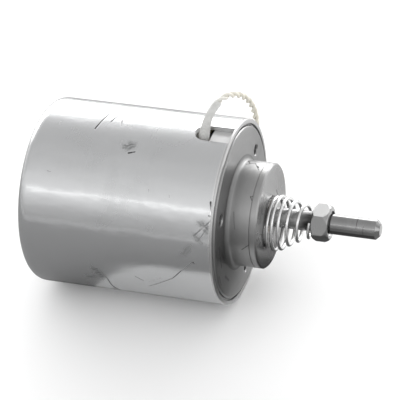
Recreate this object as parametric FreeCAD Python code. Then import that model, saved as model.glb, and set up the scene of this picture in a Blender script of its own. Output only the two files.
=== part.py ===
import FreeCAD, Part
import math
import os

# Tubular dc pull solenoid with a conical return spring, millimetres.
# X runs along the plunger rod, out of the nose. Z points up through the lead slot.
# The origin is the centre of the front face that the three screw holes open in.

V = FreeCAD.Vector

# Housing can, drawn from sheet
can_outer_d = 56.0
can_wall = 1.45
can_bottom = 1.45
can_corner_r = 3.5
can_length = 60.2

# Lead slot in the top of the can, open to its front edge
slot_width = 7.3
slot_length = 11.0

# Front flange, turned in one piece with its boss
lip_proud = 0.3
lip_thickness = 1.2
lip_round = 0.6
flange_thickness = 7.2
flange_fit = 0.05
groove_width = 0.6
groove_depth = 0.8
face_edge_round = 0.75
boss_d = 31.6
boss_length = 7.1
boss_root_r = 1.6
screw_count = 3
screw_first_angle = 60.0
screw_pcd = 41.0
screw_tap_d = 3.3
screw_countersink = 0.35

# Nose cap and rod bush
cap_thickness = 2.2
cap_chamfer = 0.5
cap_seam = 0.18
cap_spigot = 4.0
bush_d = 10.0
bush_recess = 0.25
bush_end_chamfer = 0.4
running_fit = 0.05
press_gap = 0.02

# Plunger, rod and hex tip
rod_d = 6.0
plunger_d = 22.0
plunger_length = 35.0
plunger_cone_length = 5.0
plunger_tip_d = 12.0
plunger_edge = 0.5
stroke = 8.0
rod_grip = 20.0
vent_d = 2.5
pin_d = 2.0
pin_inset = 9.5
pin_clear_of_wall = 0.3
spring_space = 13.4
stud_d = 5.0
stud_length = 7.0
hex_sides = 6
hex_flats = 10.0
hex_length = 5.1
hex_back_chamfer = 0.35
hex_front_round = 1.1
hex_turn = 34.3
hex_recess_width = 0.8
hex_recess_depth = 0.5
tip_length = 20.0
tip_chamfer = 1.2
thread_clear = 0.03

# How far a cutting tool runs past the face it opens
cut_over = 1.0

# Return spring
spring_wire_d = 0.9
spring_big_d = 16.6
spring_small_d = 11.1
spring_turns = 5.0
spring_narrow_turns = 0.6
spring_droop = 2.5
spring_lean = 0.8
spring_start_angle = 110.0
spring_seat_gap = 0.02
seat_closing = 0.9
spring_steps = 16

# Guide tube, poles and stops
tube_wall = 0.95
tube_plate_gap = 2.7
core_plate_thickness = 5.0
spigot_d = 16.0
shim_thickness = 0.5
shim_bore_d = 5.0
shim_clear = 0.1
bumper_thickness = 1.5
bumper_d = 20.6
bumper_bore_d = 7.2
face_gap = 0.05

# Bobbin and coil
washer_thickness = 0.8
bobbin_barrel_wall = 1.2
bobbin_can_gap = 2.15
bobbin_flange_thickness = 1.4
bobbin_corner = 0.4
winding_below_rim = 1.5
winding_bulge = 0.35
tape_thickness = 0.4
layer_gap = 0.05

# Lead joints under the can wall
pad_angle = 26.0
pad_length = 18.0
splice_d = 1.9
splice_length = 12.0
splice_angle = 5.2
splice_round = 0.4

# Twisted lead pair and its sleeve
lead_pair_d = 2.0
sleeve_wall = 0.3
sleeve_clear = 0.05
sleeve_flare_d = 3.4
sleeve_flare_length = 2.6
end_wire_d = 0.55
end_wire_length = 6.0
end_wire_spread = 1.1
coil_mean_r = 10.0
coil_turns = 3
coil_start_x = -16.0
coil_start_y = 48.0
lay_gap = 0.05
floor_z = -can_outer_d / 2

# Points of the leads' route, from inside the slot over the can and down behind it
LEAD_ROUTE = [
    V(-9.5, -0.2, 25.0),
    V(-8.9, 0.0, 29.6),
    V(-7.3, 2.2, 34.3),
    V(-5.2, 7.4, 36.0),
    V(-3.4, 14.4, 32.6),
    V(-2.2, 21.2, 26.2),
    V(-2.4, 27.6, 16.2),
    V(-4.4, 31.2, 4.0),
    V(-7.4, 32.7, -8.4),
    V(-10.6, 35.0, -18.6),
    V(-13.8, 39.4, -25.4),
    V(-16.0, 45.6, -27.0),
]
TAIL_ROUTE = [
    V(-16.0, 50.4, -20.9),
    V(-16.9, 55.6, -22.6),
    V(-19.6, 60.4, -26.2),
    V(-24.2, 64.6, -27.0),
    V(-30.6, 66.4, -27.0),
]
SLEEVED_POINTS = 4

# Share of a run that the arc at its end may take
arc_share = 0.45

# Places along the axis that several pieces share
can_r = can_outer_d / 2
can_inner_r = can_r - can_wall
can_mouth_x = lip_proud - lip_thickness
can_rear_x = can_mouth_x - can_length
can_floor_x = can_rear_x + can_bottom
flange_back_x = -flange_thickness
boss_r = boss_d / 2
boss_front_x = boss_length
nose_x = boss_front_x + cap_thickness
spigot_back_x = boss_front_x - cap_spigot
rod_r = rod_d / 2
plunger_r = plunger_d / 2
tube_inner_r = plunger_r + running_fit
tube_outer_r = tube_inner_r + tube_wall
tube_seat_r = tube_outer_r + press_gap
bumper_back_x = spigot_back_x - bumper_thickness
plunger_front_x = bumper_back_x - face_gap
plunger_back_x = plunger_front_x - plunger_length
shim_front_x = plunger_back_x - stroke - shim_clear
shim_back_x = shim_front_x - shim_thickness
core_plate_x = can_floor_x + core_plate_thickness
core_recess_x = shim_back_x - press_gap
core_rim_x = core_recess_x + plunger_cone_length
tube_rear_x = core_plate_x + tube_plate_gap
bobbin_front_x = flange_back_x - washer_thickness
bobbin_rear_x = core_plate_x + layer_gap
bobbin_flange_r = can_inner_r - bobbin_can_gap
barrel_inner_r = tube_outer_r + 2 * layer_gap
barrel_outer_r = barrel_inner_r + bobbin_barrel_wall
winding_r = bobbin_flange_r - winding_below_rim
tape_inner_r = winding_r + winding_bulge + layer_gap
tape_outer_r = tape_inner_r + tape_thickness
hex_back_x = nose_x + spring_space
hex_front_x = hex_back_x + hex_length
tip_end_x = hex_back_x + tip_length
hex_corner_r = hex_flats / 2 / math.cos(math.pi / hex_sides)
pin_x = plunger_front_x - pin_inset


def blended_edges(points, radii, closed):
    """Straight edges through the points, with a tangent arc at each corner that has a radius."""
    count = len(points)
    starts, ends, arcs = [], [], []
    for i, corner in enumerate(points):
        is_end = not closed and i in (0, count - 1)
        if is_end or radii[i] <= 0:
            starts.append(corner)
            ends.append(corner)
            arcs.append(None)
            continue
        back = (points[i - 1] - corner).normalize()
        ahead = (points[(i + 1) % count] - corner).normalize()
        half_turn = (math.pi - back.getAngle(ahead)) / 2
        reach = radii[i] * math.tan(half_turn)
        middle = (back + ahead).normalize()
        rise = radii[i] / math.cos(half_turn) - radii[i]
        starts.append(corner + back * reach)
        ends.append(corner + ahead * reach)
        arcs.append(corner + middle * rise)
    edges = []
    for i in range(count):
        if arcs[i] is not None:
            edges.append(Part.Arc(starts[i], arcs[i], ends[i]).toShape())
        last = not closed and i == count - 1
        following = starts[(i + 1) % count]
        if not last and ends[i].distanceToPoint(following) > 1e-6:
            edges.append(Part.LineSegment(ends[i], following).toShape())
    return edges


def turned(outline):
    """Solid of revolution about X from (x, radius) or (x, radius, corner radius) points."""
    points = [V(p[0], 0, p[1]) for p in outline]
    radii = [p[2] if len(p) > 2 else 0 for p in outline]
    face = Part.Face(Part.Wire(blended_edges(points, radii, True)))
    return face.revolve(V(0, 0, 0), V(1, 0, 0), 360)


def ring(back_x, front_x, inner_r, outer_r):
    """Plain ring about X."""
    corners = [(back_x, inner_r), (back_x, outer_r), (front_x, outer_r), (front_x, inner_r)]
    return turned(corners)


def rod_between(start, end, radius):
    """Round bar from one point to another."""
    along = end - start
    return Part.makeCylinder(radius, along.Length, start, along)


def around(angle, radius, x):
    """Point at an angle from the top, positive towards -Y."""
    turn = math.radians(angle)
    return V(x, -radius * math.sin(turn), radius * math.cos(turn))


def route_radii(points):
    """Largest tangent arc that each inner corner of the leads' route allows."""
    radii = [0.0]
    for before, corner, after in zip(points, points[1:], points[2:]):
        run = min(before.distanceToPoint(corner), corner.distanceToPoint(after))
        half_turn = (math.pi - (before - corner).getAngle(after - corner)) / 2
        radii.append(arc_share * run / math.tan(half_turn))
    radii.append(0.0)
    return radii


def swept_tube(points, radii, radius):
    """Round tube along a route of straight runs and tangent arcs."""
    path = Part.Wire(blended_edges(points, radii, False))
    section = Part.Wire(Part.makeCircle(radius, points[0], points[1] - points[0]))
    return path.makePipeShell([section], True, False), path


def housing_can():
    """Deep-drawn cup with a rounded rear edge and an open slot for the leads."""
    inner_corner = can_corner_r - can_wall
    outline = [
        (can_rear_x, 0),
        (can_rear_x, can_r, can_corner_r),
        (can_mouth_x, can_r, cap_seam),
        (can_mouth_x, can_inner_r),
        (can_floor_x, can_inner_r, inner_corner),
        (can_floor_x, 0),
    ]
    slot_r = slot_width / 2
    slot_back = can_mouth_x - slot_length
    top = can_r + cut_over
    depth = top - can_inner_r + 2 * cut_over
    round_end = Part.makeCylinder(slot_r, depth, V(slot_back + slot_r, 0, top - depth))
    straight = Part.makeBox(
        slot_length - slot_r + cut_over, slot_width, depth, V(slot_back + slot_r, -slot_r, top - depth)
    )
    return turned(outline).cut(round_end.fuse(straight))


def front_flange():
    """End flange with a proud lip, a turned face groove, a boss and three tapped holes."""
    body_r = can_inner_r - flange_fit
    face_r = body_r - groove_width
    outline = [
        (flange_back_x, tube_seat_r),
        (flange_back_x, body_r),
        (can_mouth_x + press_gap, body_r),
        (can_mouth_x + press_gap, can_r, cap_seam),
        (lip_proud, can_r, lip_round),
        (lip_proud, body_r, groove_width / 4),
        (lip_proud - groove_depth, body_r),
        (lip_proud - groove_depth, face_r),
        (0, face_r, face_edge_round),
        (0, boss_r, boss_root_r),
        (boss_front_x, boss_r, cap_seam),
        (boss_front_x, tube_seat_r),
    ]
    flange = turned(outline)
    tap_r = screw_tap_d / 2
    sink_r = tap_r + screw_countersink
    for k in range(screw_count):
        centre = around(screw_first_angle + 360 / screw_count * k, screw_pcd / 2, flange_back_x - cut_over)
        flange = flange.cut(Part.makeCylinder(tap_r, flange_thickness + 2 * cut_over, centre, V(1, 0, 0)))
        mouth = V(-screw_countersink, centre.y, centre.z)
        flange = flange.cut(Part.makeCone(tap_r, sink_r, screw_countersink, mouth, V(1, 0, 0)))
    return flange


def nose_cap():
    """Cap on the boss, with a spigot in its bore and a seat for the bush."""
    outline = [
        (spigot_back_x, bush_d / 2 + press_gap),
        (spigot_back_x, tube_seat_r - press_gap),
        (boss_front_x + press_gap, tube_seat_r - press_gap),
        (boss_front_x + press_gap, boss_r, cap_seam),
        (nose_x - cap_chamfer, boss_r),
        (nose_x, boss_r - cap_chamfer),
        (nose_x, bush_d / 2 + press_gap),
    ]
    return turned(outline)


def nose_bush():
    """Sintered bush that guides the rod."""
    bore_r = rod_r + running_fit
    front = nose_x - bush_recess
    outline = [
        (spigot_back_x, bore_r + bush_end_chamfer),
        (spigot_back_x, bush_d / 2),
        (front, bush_d / 2),
        (front, bore_r + bush_end_chamfer),
        (front - bush_end_chamfer, bore_r),
        (spigot_back_x + bush_end_chamfer, bore_r),
    ]
    return turned(outline)


def guide_tube():
    """Thin non-magnetic tube that the plunger slides in."""
    return ring(tube_rear_x, spigot_back_x - press_gap, tube_inner_r, tube_outer_r)


def core_plate():
    """Flux plate on the can's floor, with a hole for the fixed core."""
    outline = [
        (can_floor_x + press_gap, spigot_d / 2 + press_gap),
        (can_floor_x + press_gap, can_inner_r - flange_fit, can_corner_r),
        (core_plate_x, can_inner_r - flange_fit),
        (core_plate_x, spigot_d / 2 + press_gap),
    ]
    return turned(outline)


def fixed_core():
    """Pole piece with a conical seat for the plunger's end and a riveted spigot."""
    core_r = plunger_r
    seat_r = plunger_tip_d / 2
    outline = [
        (can_floor_x + 2 * press_gap, 0),
        (can_floor_x + 2 * press_gap, spigot_d / 2),
        (core_plate_x + press_gap, spigot_d / 2),
        (core_plate_x + press_gap, core_r),
        (core_rim_x, core_r),
        (core_rim_x, core_r - press_gap),
        (core_recess_x, seat_r),
        (core_recess_x, 0),
    ]
    return turned(outline)


def shim_washer():
    """Brass washer that keeps the plunger from sticking to the core."""
    return ring(shim_back_x, shim_front_x, shim_bore_d / 2, plunger_tip_d / 2 - face_gap)


def bumper_ring():
    """Soft ring that stops the plunger on its way out."""
    back = bumper_back_x
    front = spigot_back_x - press_gap
    return ring(back, front, bumper_bore_d / 2, bumper_d / 2)


def front_washer():
    """Fibre washer between the flange and the bobbin."""
    return ring(
        bobbin_front_x + layer_gap, flange_back_x - press_gap, tube_outer_r + press_gap, bobbin_flange_r
    )


def bobbin():
    """Moulded bobbin with two flanges."""
    inside_front = bobbin_front_x - bobbin_flange_thickness
    inside_rear = bobbin_rear_x + bobbin_flange_thickness
    outline = [
        (bobbin_rear_x, barrel_inner_r),
        (bobbin_rear_x, bobbin_flange_r, bobbin_corner),
        (inside_rear, bobbin_flange_r, bobbin_corner),
        (inside_rear, barrel_outer_r),
        (inside_front, barrel_outer_r),
        (inside_front, bobbin_flange_r, bobbin_corner),
        (bobbin_front_x, bobbin_flange_r, bobbin_corner),
        (bobbin_front_x, barrel_inner_r),
    ]
    return turned(outline)


def coil_winding():
    """Wound copper, slightly crowned."""
    front = bobbin_front_x - bobbin_flange_thickness - layer_gap
    rear = bobbin_rear_x + bobbin_flange_thickness + layer_gap
    points = [V(rear, 0, barrel_outer_r + layer_gap), V(rear, 0, winding_r)]
    crown = V((front + rear) / 2, 0, winding_r + winding_bulge)
    edges = [
        Part.LineSegment(points[0], points[1]).toShape(),
        Part.Arc(points[1], crown, V(front, 0, winding_r)).toShape(),
        Part.LineSegment(V(front, 0, winding_r), V(front, 0, points[0].z)).toShape(),
        Part.LineSegment(V(front, 0, points[0].z), points[0]).toShape(),
    ]
    return Part.Face(Part.Wire(edges)).revolve(V(0, 0, 0), V(1, 0, 0), 360)


def coil_tape():
    """Insulating tape round the winding."""
    front = bobbin_front_x - bobbin_flange_thickness - layer_gap
    rear = bobbin_rear_x + bobbin_flange_thickness + layer_gap
    return ring(rear, front, tape_inner_r, tape_outer_r)


def lead_pad():
    """Curved insulating strip under the lead joints."""
    inner = tape_outer_r + layer_gap
    outer = inner + tape_thickness
    front = bobbin_front_x - bobbin_flange_thickness - layer_gap
    start = around(pad_angle / 2, 1, 0)
    points = [V(front, start.y * inner, start.z * inner), V(front, start.y * outer, start.z * outer)]
    step = V(-pad_length, 0, 0)
    outline = Part.makePolygon([points[0], points[1], points[1] + step, points[0] + step, points[0]])
    return Part.Face(outline).revolve(V(0, 0, 0), V(1, 0, 0), pad_angle)


def splices():
    """Two crimped and sleeved joints between the winding's ends and the leads."""
    pad_top = tape_outer_r + layer_gap + tape_thickness
    centre_r = pad_top + layer_gap + splice_d / 2
    flare_r = sleeve_flare_d / 2
    front = LEAD_ROUTE[0].x - flare_r - layer_gap
    joints = []
    for side in (-1, 1):
        centre = around(side * splice_angle, centre_r, front)
        profile = [
            (-splice_length, 0),
            (-splice_length, splice_d / 2, splice_round),
            (0, splice_d / 2, splice_round),
            (0, 0),
        ]
        joint = turned(profile)
        joint.translate(centre)
        joints.append(joint)
    return Part.makeCompound(joints)


def plunger():
    """Moving iron with a conical end, a socket for the rod and a vent."""
    socket_r = rod_r + thread_clear
    socket_end = plunger_front_x - rod_grip
    cone_start = plunger_back_x + plunger_cone_length
    outline = [
        (plunger_back_x, vent_d / 2),
        (plunger_back_x, plunger_tip_d / 2),
        (cone_start, plunger_r),
        (plunger_front_x - plunger_edge, plunger_r),
        (plunger_front_x, plunger_r - plunger_edge),
        (plunger_front_x, socket_r),
        (socket_end, socket_r),
        (socket_end, vent_d / 2),
    ]
    bore = rod_between(V(pin_x, -plunger_d, 0), V(pin_x, plunger_d, 0), pin_d / 2 + press_gap)
    return turned(outline).cut(bore)


def plunger_rod():
    """Smooth rod through the bush, with a stud for the hex tip."""
    stud_end = hex_back_x + stud_length
    back = plunger_front_x - rod_grip + face_gap
    outline = [
        (back, 0),
        (back, rod_r),
        (hex_back_x - press_gap, rod_r),
        (hex_back_x - press_gap, stud_d / 2),
        (stud_end, stud_d / 2),
        (stud_end, 0),
    ]
    bore = rod_between(V(pin_x, -rod_d, 0), V(pin_x, rod_d, 0), pin_d / 2 + press_gap)
    return turned(outline).cut(bore)


def rod_pin():
    """Cross pin that locks the rod in the plunger."""
    half = plunger_r - pin_clear_of_wall
    return rod_between(V(pin_x, -half, 0), V(pin_x, half, 0), pin_d / 2)


def rod_tip():
    """Hex collar and round pin turned in one piece, screwed onto the rod."""
    corner_r = hex_corner_r
    recess_r = rod_r + hex_recess_width
    socket_r = stud_d / 2 + thread_clear
    socket_end = hex_back_x + stud_length + face_gap
    step = 360 / hex_sides
    corners = [around(hex_turn + step * k, corner_r, hex_back_x) for k in range(hex_sides + 1)]
    prism = Part.Face(Part.makePolygon(corners)).extrude(V(hex_length, 0, 0))
    envelope = turned(
        [
            (hex_back_x, 0),
            (hex_back_x, hex_flats / 2 - hex_back_chamfer / 2),
            (hex_back_x + hex_back_chamfer, corner_r),
            (hex_front_x, corner_r, hex_front_round + corner_r - hex_flats / 2),
            (hex_front_x, 0),
        ]
    )
    recess = ring(hex_front_x - hex_recess_depth, hex_front_x + cut_over, rod_r, recess_r)
    shank = turned(
        [
            (hex_front_x - cut_over, 0),
            (hex_front_x - cut_over, rod_r),
            (tip_end_x - tip_chamfer, rod_r),
            (tip_end_x, rod_r - tip_chamfer),
            (tip_end_x, 0),
        ]
    )
    drill = rod_between(V(hex_back_x - cut_over, 0, 0), V(socket_end, 0, 0), socket_r)
    return prism.common(envelope).cut(recess).fuse(shank).cut(drill).removeSplitter()


def spring_point(t):
    """Centre of the wire after t turns from the big end."""
    wire_r = spring_wire_d / 2
    start_x = nose_x + wire_r + spring_seat_gap
    length = spring_space - 2 * (wire_r + spring_seat_gap)
    share = t / spring_turns
    eased = share - seat_closing * math.sin(2 * math.pi * share) / (2 * math.pi)
    big_r = (spring_big_d - spring_wire_d) / 2
    small_r = (spring_small_d - spring_wire_d) / 2
    narrowing = max(0.0, min(1.0, (t - 1) / (spring_turns - 1 - spring_narrow_turns)))
    radius = big_r + (small_r - big_r) * narrowing
    angle = math.radians(spring_start_angle - 360 * t)
    droop = spring_droop * (1 - share)
    lean = spring_lean * math.sin(math.pi * share) ** 2 * math.cos(angle)
    x = start_x + length * eased - lean
    return V(x, -radius * math.sin(angle), radius * math.cos(angle) - droop)


def return_spring():
    """Conical wire spring with closed ends, hanging a little low on the rod."""
    total = int(spring_turns * spring_steps)
    points = [spring_point(k / spring_steps) for k in range(total + 1)]
    curve = Part.BSplineCurve()
    curve.interpolate(points)
    path = Part.Wire(curve.toShape())
    start = curve.tangent(curve.FirstParameter)[0]
    section = Part.Wire(Part.makeCircle(spring_wire_d / 2, points[0], start))
    return path.makePipeShell([section], True, True)


def lead_sleeve():
    """Insulating sleeve round the leads, wider where it comes out of the can."""
    radii = route_radii(LEAD_ROUTE)[:SLEEVED_POINTS]
    points = LEAD_ROUTE[:SLEEVED_POINTS]
    points[-1] = (points[-2] + points[-1]) / 2
    inner_r = lead_pair_d / 2 + sleeve_clear
    outer = swept_tube(points, radii, inner_r + sleeve_wall)[0]
    inner = swept_tube(points, radii, inner_r)[0]
    along = (points[1] - points[0]).normalize()
    flare_top_r = inner_r + sleeve_wall / 2
    flare = Part.makeCone(sleeve_flare_d / 2, flare_top_r, sleeve_flare_length, points[0], along)
    return outer.fuse(flare).cut(inner)


def leads_coil():
    """Outer shape of the coiled length of the leads, lying behind the can."""
    half = lead_pair_d / 2 + lay_gap
    height = lead_pair_d + coil_turns * (lead_pair_d + lay_gap)
    foot = V(coil_start_x - coil_mean_r, coil_start_y, floor_z + lay_gap)
    outer = Part.makeCylinder(coil_mean_r + half, height, foot)
    return outer.cut(Part.makeCylinder(coil_mean_r - half, height, foot))


def lead_ends():
    """Two stripped and tinned wire ends."""
    end = TAIL_ROUTE[-1]
    along = (end - TAIL_ROUTE[-2]).normalize()
    across = V(-along.y, along.x, 0)
    ends = []
    for side in (-1, 1):
        start = end + across * (side * (end_wire_d + lay_gap) / 2)
        tip = start + along * end_wire_length + across * (side * end_wire_spread)
        ends.append(rod_between(start, tip, end_wire_d / 2))
    return Part.makeCompound(ends)


def write(name, shape):
    """Check a node and write its file."""
    bad = [s for s in shape.Solids if not s.isValid() or s.Volume <= 0]
    if bad or not shape.Solids:
        raise ValueError("node " + name + " has no sound solid")
    shape.exportStep("parts/" + name + ".step")
    print(name, len(shape.Solids), "solids,", round(shape.Volume, 1), "mm3")


def main():
    os.makedirs("parts", exist_ok=True)
    run_radii, tail_radii = route_radii(LEAD_ROUTE), route_radii(TAIL_ROUTE)
    run, run_path = swept_tube(LEAD_ROUTE, run_radii, lead_pair_d / 2)
    tail, tail_path = swept_tube(TAIL_ROUTE, tail_radii, lead_pair_d / 2)
    section = math.pi * (lead_pair_d / 2) ** 2
    for name, solid, path, radii in (
        ("leads_run", run, run_path, run_radii),
        ("leads_tail", tail, tail_path, tail_radii),
    ):
        ratio = solid.Volume / (section * path.Length)
        bends = [round(r, 1) for r in radii[1:-1]]
        print(name, "length", round(path.Length, 1), "volume ratio", round(ratio, 4), "radii", bends)
    nodes = {
        "housing_can": housing_can(),
        "front_flange": front_flange(),
        "nose_cap": nose_cap(),
        "nose_bush": nose_bush(),
        "guide_tube": guide_tube(),
        "core_plate": core_plate(),
        "fixed_core": fixed_core(),
        "shim_washer": shim_washer(),
        "bumper_ring": bumper_ring(),
        "front_washer": front_washer(),
        "bobbin": bobbin(),
        "coil_winding": coil_winding(),
        "coil_tape": coil_tape(),
        "lead_pad": lead_pad(),
        "splices": splices(),
        "plunger": plunger(),
        "plunger_rod": plunger_rod(),
        "rod_pin": rod_pin(),
        "rod_tip": rod_tip(),
        "return_spring": return_spring(),
        "lead_sleeve": lead_sleeve(),
        "leads_run": run,
        "leads_coil": leads_coil(),
        "leads_tail": tail,
        "lead_ends": lead_ends(),
    }
    for name, shape in nodes.items():
        write(name, shape)


main()
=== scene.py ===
import math

import bmesh
import bpy
from mathutils import Matrix, Vector


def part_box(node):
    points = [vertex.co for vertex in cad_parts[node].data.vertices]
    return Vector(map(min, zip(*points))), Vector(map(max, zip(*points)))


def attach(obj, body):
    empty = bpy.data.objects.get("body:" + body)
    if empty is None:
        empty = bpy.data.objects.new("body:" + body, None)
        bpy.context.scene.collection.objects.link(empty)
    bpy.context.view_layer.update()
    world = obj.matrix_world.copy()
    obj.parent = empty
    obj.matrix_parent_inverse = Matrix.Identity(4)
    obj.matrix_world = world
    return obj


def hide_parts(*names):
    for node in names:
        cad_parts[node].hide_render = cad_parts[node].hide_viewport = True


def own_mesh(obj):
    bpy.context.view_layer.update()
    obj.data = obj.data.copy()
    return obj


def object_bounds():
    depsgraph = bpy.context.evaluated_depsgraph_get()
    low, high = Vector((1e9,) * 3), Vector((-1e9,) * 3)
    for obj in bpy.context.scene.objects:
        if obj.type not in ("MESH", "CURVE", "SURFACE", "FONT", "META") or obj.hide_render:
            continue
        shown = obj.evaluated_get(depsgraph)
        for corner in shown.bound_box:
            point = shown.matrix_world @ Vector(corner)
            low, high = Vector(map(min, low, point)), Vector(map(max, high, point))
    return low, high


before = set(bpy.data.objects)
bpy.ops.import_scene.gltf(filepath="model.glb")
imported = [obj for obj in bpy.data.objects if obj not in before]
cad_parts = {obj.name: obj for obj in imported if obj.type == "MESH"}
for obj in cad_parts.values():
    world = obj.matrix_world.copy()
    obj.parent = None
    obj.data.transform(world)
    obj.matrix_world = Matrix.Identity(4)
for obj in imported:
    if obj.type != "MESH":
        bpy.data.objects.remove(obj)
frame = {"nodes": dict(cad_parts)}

# Tubular pull solenoid: drawn can, turned flange and boss, conical spring, hex tip and twisted leads.
# Metres throughout. X runs along the rod, out of the nose. Z points up through the lead slot.

cad_low, cad_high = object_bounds()
nodes = frame["nodes"]
MM = 0.001

# Camera: where the picture was taken from
camera_place = Vector((0.19126, -0.52747, 0.42876))
camera_right = Vector((0.9498, 0.3024, -0.0802))
camera_up = Vector((-0.1223, 0.5947, 0.7946))
camera_lens = 214.0
camera_sensor = 36.0
camera_reach = (0.01, 100)

# Can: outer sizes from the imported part
can_low, can_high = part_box("housing_can")
can_r = can_high.y
can_mouth_x = can_high.x
can_rear_x = can_low.x
can_wall = 1.45 * MM
can_corner_r = 3.5 * MM
slot_width = 7.3 * MM
slot_length = 11.0 * MM
slot_arc_steps = 24
slot_cut_depth = 3.0 * MM
hair_edge = 0.03 * MM
can_segments = 240
can_row_step = 0.45 * MM
can_unevenness = 0.9

# Front flange and its boss
face_x = 0.0
lip_front_x = -0.3 * MM
lip_round = 0.5 * MM
flange_back_x = -7.2 * MM
flange_clearance = 0.05 * MM
flange_r = can_r - can_wall - flange_clearance
groove_width = 0.6 * MM
groove_depth = 0.8 * MM
face_edge_round = 0.75 * MM
boss_r = 15.8 * MM
boss_front_x = 7.1 * MM
boss_root_r = 1.4 * MM
screw_circle_r = 20.5 * MM
screw_hole_r = 1.65 * MM
screw_sink = 0.35 * MM
screw_angles = (60.0, 180.0, 300.0)
screw_facets = 32
thread_pitch = 0.7 * MM
thread_ridge = 0.14 * MM
thread_start_x = -6.9 * MM
thread_depth = 6.4 * MM
guide_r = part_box("guide_tube")[1].z
flange_segments = 192
turned_row_step = 0.8 * MM
seam_edge = 0.12 * MM
seam_gap = 0.02 * MM
doubles_reach = 0.001 * MM
axis_reach = 1e-7

# Nose cap and hex tip
nose_seat_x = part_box("nose_cap")[0].x
nose_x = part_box("nose_cap")[1].x
nose_chamfer = 0.5 * MM
nose_edge = 0.1 * MM
nose_bore_r = 5.02 * MM
nose_segments = 160
rod_r = 3.0 * MM
stud_r = 2.53 * MM
stud_reach = 7.1 * MM
spring_space = 13.4 * MM
spring_wire_d = 1.05 * MM
spring_big_d = 17.0 * MM
spring_small_d = 9.6 * MM
hex_flat_r = 5.0 * MM
hex_corner_r = hex_flat_r / math.cos(math.pi / 6) + 0.04 * MM
hex_back_inset = 0.05 * MM
hex_front_inset = 0.1 * MM
hex_back_round = 0.3 * MM
hex_shoulder_round = 0.8 * MM
hex_front_round = 1.0 * MM
hex_turn = math.radians(34.3)
hex_back_x = nose_x + spring_space
hex_front_x = hex_back_x + 5.1 * MM
hex_back_chamfer = 0.8 * MM
hex_front_chamfer = 1.7 * MM
recess_r = 3.8 * MM
recess_edge = 0.12 * MM
hex_flats_from_r = recess_r + 0.3 * MM
recess_depth = 0.5 * MM
tip_chamfer = 1.2 * MM
tip_edge = 0.08 * MM
tip_end_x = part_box("rod_tip")[1].x
tip_segments = 240
tip_row_step = 0.16 * MM

# Leads: route and coil as in the part's source, in millimetres
LEAD_ROUTE = [
    (-9.5, -0.2, 25.0),
    (-8.9, 0.0, 29.6),
    (-7.3, 2.2, 34.3),
    (-5.2, 7.4, 36.0),
    (-3.4, 14.4, 32.6),
    (-2.2, 21.2, 26.2),
    (-2.4, 27.6, 16.2),
    (-4.4, 31.2, 4.0),
    (-7.4, 32.7, -8.4),
    (-10.6, 35.0, -18.6),
    (-13.8, 39.4, -25.4),
    (-16.0, 45.6, -27.0),
]
TAIL_ROUTE = [
    (-16.0, 50.4, -20.9),
    (-16.9, 55.6, -22.6),
    (-19.6, 60.4, -26.2),
    (-24.2, 64.6, -27.0),
    (-30.6, 66.4, -27.0),
]
coil_start = Vector((-16.0, 48.0, -27.0))
coil_mean_r = 10.0
coil_turns = 3
coil_points = 16
coil_pitch = 2.05

# Leads: sizes
strand_d = 1.0 * MM
strand_twist = 7.5 * MM
lead_smoothness = 12

# Sleeve on the leads, flared at the slot
sleeve_reach = 13.2 * MM
sleeve_r = 1.2 * MM
sleeve_flare_r = 1.66 * MM
sleeve_flare_length = 9.0 * MM
sleeve_wall = 0.2 * MM
sleeve_facets = 28


def link_piece(name, held):
    """Object at the origin that holds finished data, such as a mesh."""
    piece = bpy.data.objects.new(name, held)
    bpy.context.scene.collection.objects.link(piece)
    return piece


def make_camera():
    """Camera at the angle and distance of the picture."""
    data = bpy.data.cameras.new("camera")
    data.lens = camera_lens
    data.sensor_width = camera_sensor
    data.clip_start, data.clip_end = camera_reach
    camera = link_piece("camera", data)
    back = camera_right.cross(camera_up).normalized()
    up = back.cross(camera_right).normalized()
    turn = Matrix((camera_right.normalized(), up, back)).transposed()
    camera.matrix_world = Matrix.Translation(camera_place) @ turn.to_4x4()
    bpy.context.scene.camera = camera


def lead_route_points():
    """Control points of the leads' line: out of the slot, round the coil and to the stripped ends."""
    centre = coil_start - Vector((coil_mean_r, 0, 0))
    reach = coil_mean_r / math.cos(math.pi / coil_points)
    turns = []
    for k in range(coil_turns * coil_points + 1):
        angle = 2 * math.pi * k / coil_points
        rise = coil_pitch * k / coil_points
        turns.append(centre + Vector((reach * math.cos(angle), reach * math.sin(angle), rise)))
    points = [Vector(p) for p in LEAD_ROUTE] + turns + [Vector(p) for p in TAIL_ROUTE]
    return [p * MM for p in points]


def smooth_curve(name, points):
    """One open NURBS spline through the pull of its control points."""
    data = bpy.data.curves.new(name, "CURVE")
    data.dimensions = "3D"
    data.resolution_u = lead_smoothness
    spline = data.splines.new("NURBS")
    spline.points.add(len(points) - 1)
    for point, place in zip(spline.points, points):
        point.co = (*place, 1.0)
    spline.order_u = 3
    spline.use_endpoint_u = True
    return link_piece(name, data)


def finished_mesh(piece):
    """Plain mesh of a piece as its modifiers leave it."""
    graph = bpy.context.evaluated_depsgraph_get()
    return bpy.data.meshes.new_from_object(piece.evaluated_get(graph))


def followed_points(curve):
    """Points along the curve's own line."""
    mesh = finished_mesh(curve)
    places = [v.co.copy() for v in mesh.vertices]
    bpy.data.meshes.remove(mesh)
    return places


class Value:
    """Output of a node that can stand in sums and products."""

    def __init__(self, nodes, socket):
        self.nodes = nodes
        self.socket = socket

    def __add__(self, other):
        return self.nodes.math("ADD", self, other)

    def __sub__(self, other):
        return self.nodes.math("SUBTRACT", self, other)

    def __rsub__(self, other):
        return self.nodes.math("SUBTRACT", other, self)

    def __mul__(self, other):
        return self.nodes.math("MULTIPLY", self, other)

    def __truediv__(self, other):
        return self.nodes.math("DIVIDE", self, other)

    def __rtruediv__(self, other):
        return self.nodes.math("DIVIDE", other, self)


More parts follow.
